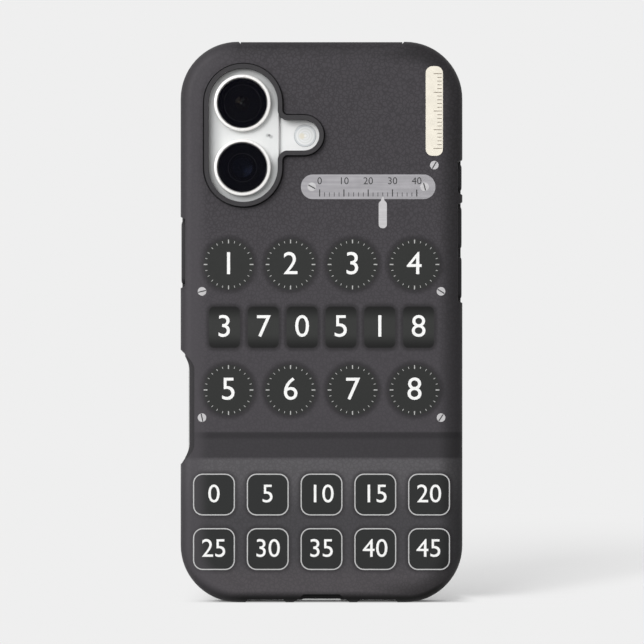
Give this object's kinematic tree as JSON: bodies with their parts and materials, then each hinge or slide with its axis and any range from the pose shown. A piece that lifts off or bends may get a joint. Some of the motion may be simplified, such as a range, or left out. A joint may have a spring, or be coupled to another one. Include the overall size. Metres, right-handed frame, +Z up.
{
  "type": "smartphone in a protective case",
  "caption": "Smartphone in a two-layer protective case with a printed back, with sprung side keys, camera plateau and sealed inner parts.",
  "frame": {"origin": "centre of the bounding box's base, under the lower edge that the phone stands on", "axes": "+Z up the phone, +X to the right as seen from the back, the printed back with its cameras faces -Y and the screen +Y"},
  "size_m": [0.0756, 0.0126, 0.1506],
  "materials": {
    "printed_shell": "fine leather-like texture under a print",
    "liner": "soft matt moulding",
    "pads": "soft matt moulding",
    "white_frame": "fine blasted and anodised",
    "control_glass": "polished",
    "band_plastic": "smooth",
    "back_glass": "gloss milky glass, coloured through",
    "lens_ring": "polished bevel",
    "lens_glass": "coated",
    "flash_glass": "ringed lens",
    "leds": "phosphor",
    "microphone": "can",
    "screen_glass": "gloss, black behind",
    "display": "black",
    "gasket": "adhesive foam",
    "mesh": "woven",
    "port_metal": "drawn",
    "port_plastic": "moulded",
    "screws": "turned",
    "mid_metal": "milled",
    "battery_foil": "wrapped pouch",
    "adhesive": "stretch strip",
    "board": "solder mask",
    "chip": "moulded packages",
    "cans": "pressed",
    "copper": "wound wire",
    "ferrite": "sheet",
    "magnets": "plated",
    "camera_body": "moulded",
    "barrel": "blackened",
    "haptic_steel": "pressed",
    "tungsten": "sintered",
    "speaker": "moulded",
    "flex": "film",
    "switches": "pressed"
  },
  "bodies": {
    "phone_and_case": {"case_shell": "printed_shell", "case_liner": "liner", "side_frame": "white_frame", "antenna_bands": "band_plastic", "back_glass": "back_glass", "upper_lens_ring": "lens_ring", "lower_lens_ring": "lens_ring", "upper_lens_window": "lens_glass", "lower_lens_window": "lens_glass", "flash_window": "flash_glass", "flash_leds": "leds", "rear_microphone": "microphone", "lower_microphone": "microphone", "cover_glass": "screen_glass", "display_panel": "display", "display_gasket": "gasket", "earpiece_mesh": "mesh", "port_shell": "port_metal", "port_tongue": "port_plastic", "lower_edge_screws": "screws", "internal_screws": "screws", "mid_plate": "mid_metal", "battery": "battery_foil", "battery_adhesive": "adhesive", "logic_board": "board", "main_sensor": "board", "ultrawide_sensor": "board", "chips": "chip", "shield_cans": "cans", "charging_coil": "copper", "coil_ferrite": "ferrite", "magnet_ring": "magnets", "main_camera_body": "camera_body", "ultrawide_camera_body": "camera_body", "front_camera": "camera_body", "face_sensor": "camera_body", "haptic_housing": "haptic_steel", "haptic_springs": "haptic_steel", "loudspeaker": "speaker", "earpiece_speaker": "speaker", "display_flex": "flex", "port_flex": "flex", "battery_flex": "flex", "button_switches": "switches"},
    "action_key": {"action_pad": "pads", "action_button": "white_frame"},
    "volume_up_key": {"volume_up_pad": "pads", "volume_up_button": "white_frame"},
    "volume_down_key": {"volume_down_pad": "pads", "volume_down_button": "white_frame"},
    "side_key": {"power_pad": "pads", "side_button": "white_frame"},
    "camera_control": {"camera_control_button": "control_glass"},
    "main_lens": {"main_lens_barrel": "barrel"},
    "ultrawide_lens": {"ultrawide_lens_barrel": "barrel"},
    "haptic": {"haptic_mass": "tungsten"}
  },
  "joints": [
    {"name": "action_press", "type": "slide", "parent": "phone_and_case", "child": "action_key", "axis": [-1, 0, 0], "range_m": [0, 0.0003], "stiffness_N_per_m": 1000, "springref_m": -0.0005},
    {"name": "volume_up_press", "type": "slide", "parent": "phone_and_case", "child": "volume_up_key", "axis": [-1, 0, 0], "range_m": [0, 0.0003], "stiffness_N_per_m": 1000, "springref_m": -0.0005},
    {"name": "volume_down_press", "type": "slide", "parent": "phone_and_case", "child": "volume_down_key", "axis": [-1, 0, 0], "range_m": [0, 0.0003], "stiffness_N_per_m": 1000, "springref_m": -0.0005},
    {"name": "side_press", "type": "slide", "parent": "phone_and_case", "child": "side_key", "axis": [1, 0, 0], "range_m": [0, 0.0003], "stiffness_N_per_m": 1000, "springref_m": -0.0005},
    {"name": "camera_control_press", "type": "slide", "parent": "phone_and_case", "child": "camera_control", "axis": [1, 0, 0], "range_m": [0, 0.00015], "stiffness_N_per_m": 1000, "springref_m": -0.0005},
    {"name": "main_focus", "type": "slide", "parent": "phone_and_case", "child": "main_lens", "axis": [0, -1, 0], "range_m": [0, 0.00035], "stiffness_N_per_m": 100},
    {"name": "ultrawide_focus", "type": "slide", "parent": "phone_and_case", "child": "ultrawide_lens", "axis": [0, -1, 0], "range_m": [0, 0.0003], "stiffness_N_per_m": 100},
    {"name": "haptic_slide", "type": "slide", "parent": "phone_and_case", "child": "haptic", "axis": [1, 0, 0], "range_m": [-0.0004, 0.0004], "stiffness_N_per_m": 200}
  ]
}
